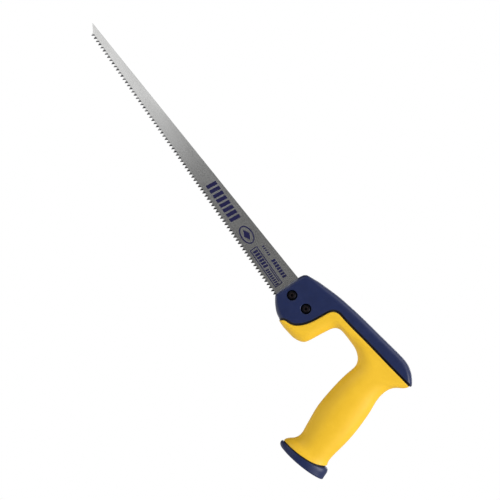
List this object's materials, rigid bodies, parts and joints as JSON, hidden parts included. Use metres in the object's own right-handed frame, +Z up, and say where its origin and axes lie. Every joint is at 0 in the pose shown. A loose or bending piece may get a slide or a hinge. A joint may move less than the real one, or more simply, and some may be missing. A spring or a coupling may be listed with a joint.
{
  "type": "drywall saw",
  "caption": "Keyhole-pattern drywall saw: tapered toothed steel blade clamped by two recessed screws in a two-part pistol-grip handle with a soft moulded grip and a flared end cap.",
  "frame": {"origin": "middle of the grip, on the plane that the saw is mirrored about, where the middle of the closed hand is", "axes": "as the saw is held in use: +X runs back from the blade's tip towards the hand, parallel to the line of the teeth; +Z is up, away from the teeth; Y is the saw's thickness, with the screw heads on the -Y side"},
  "size_m": [0.4766, 0.033, 0.1426],
  "materials": {
    "blade_steel": "satin, finely ground along its length, printed with plain dark blue marks",
    "fastener_steel": "black oxide, satin",
    "hard_handle": "satin moulded plastic with a fine grain, navy blue",
    "soft_grip": "soft moulded elastomer with a fine matt grain, yellow"
  },
  "bodies": {
    "root": {"blade": "blade_steel", "handle_half_near": "hard_handle", "handle_half_far": "hard_handle", "soft_grip": "soft_grip", "end_cap": "hard_handle", "blade_screw_front": "fastener_steel", "blade_screw_rear": "fastener_steel", "barrel_nut_front": "fastener_steel", "barrel_nut_rear": "fastener_steel"}
  },
  "joints": []
}
